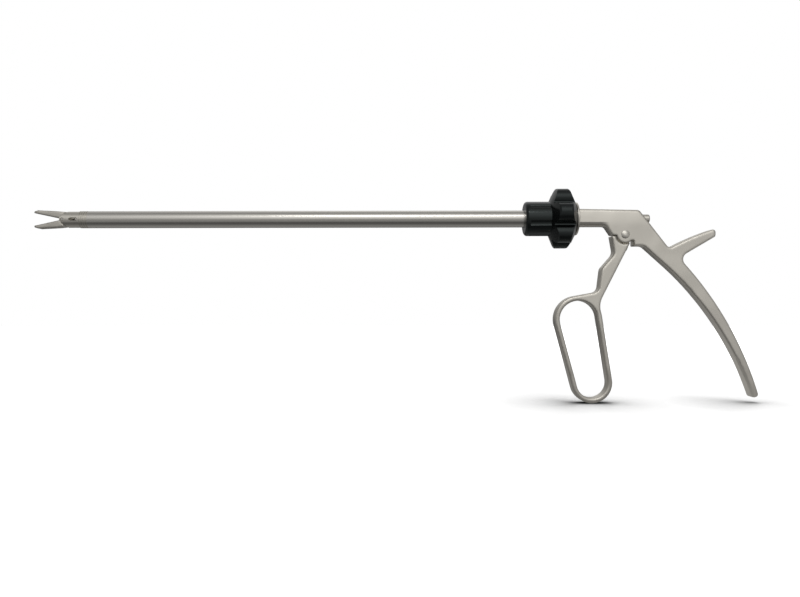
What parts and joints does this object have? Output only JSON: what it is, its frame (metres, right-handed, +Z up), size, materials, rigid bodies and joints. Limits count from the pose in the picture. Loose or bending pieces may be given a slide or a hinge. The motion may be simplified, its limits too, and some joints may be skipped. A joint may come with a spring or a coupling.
{
  "type": "laparoscopic clip applier",
  "caption": "Hand instrument with finger-loop trigger, curved rear handle, lobed rotation knob and long tube shaft that closes two hinged jaws on a ligating clip.",
  "frame": {"origin": "centre of the shaft at the front face of the rotation knob, where the free length of the tube starts", "axes": "+X along the shaft from the jaws towards the handle, +Z up with the finger loop hanging down, -Y the side that faces the camera in the picture"},
  "size_m": [0.4241, 0.035, 0.1255],
  "materials": {
    "satin_steel": "bead-blasted satin",
    "polished_steel": "fine polished",
    "turned_steel": "turned",
    "spring_steel": "bright wire",
    "black_plastic": "glossy moulded",
    "guide_plastic": "white sliding plastic",
    "seal_rubber": "matt"
  },
  "bodies": {
    "frame": {"frame": "satin_steel", "pivot_pin": "polished_steel", "front_spigot": "turned_steel", "retaining_ring": "spring_steel", "thrust_washer": "guide_plastic", "return_spring": "spring_steel"},
    "trigger": {"trigger": "satin_steel"},
    "shaft": {"outer_tube": "polished_steel", "rod_guide_front": "guide_plastic", "rod_guide_rear": "guide_plastic", "jaw_carrier": "turned_steel", "jaw_pivot_pin": "polished_steel", "rotation_knob": "black_plastic", "knob_hub": "turned_steel", "tube_socket": "turned_steel", "rod_seal": "seal_rubber", "seal_washer": "guide_plastic", "knob_set_screw": "turned_steel"},
    "drive": {"drive_rod": "turned_steel", "drive_pin": "polished_steel", "rod_spool": "turned_steel"},
    "upper_jaw": {"upper_jaw": "satin_steel"},
    "lower_jaw": {"lower_jaw": "satin_steel"}
  },
  "joints": [
    {"name": "trigger_squeeze", "type": "hinge", "parent": "frame", "child": "trigger", "pos_m": [0.0587, 0, -0.0095], "axis": [0, -1, 0], "range_deg": [0, 20], "stiffness_Nm_per_rad": 0.1, "springref_deg": -34.38},
    {"name": "knob_turn", "type": "hinge", "parent": "frame", "child": "shaft", "pos_m": [0, 0, 0], "axis": [1, 0, 0], "continuous": true},
    {"name": "rod_slide", "type": "slide", "parent": "shaft", "child": "drive", "axis": [-1, 0, 0], "range_m": [0, 0.00335], "deforming": ["return_spring"]},
    {"name": "upper_jaw_hinge", "type": "hinge", "parent": "shaft", "child": "upper_jaw", "pos_m": [-0.2705, 0, 0], "axis": [0, -1, 0], "range_deg": [0, 12]},
    {"name": "lower_jaw_hinge", "type": "hinge", "parent": "shaft", "child": "lower_jaw", "pos_m": [-0.2705, 0, 0], "axis": [0, 1, 0], "range_deg": [0, 12]}
  ],
  "couplings": [
    {"joint": "rod_slide", "follows": "trigger_squeeze", "m_per_rad": 0.009597},
    {"joint": "upper_jaw_hinge", "follows": "trigger_squeeze", "ratio": 0.6},
    {"joint": "lower_jaw_hinge", "follows": "trigger_squeeze", "ratio": 0.6}
  ]
}
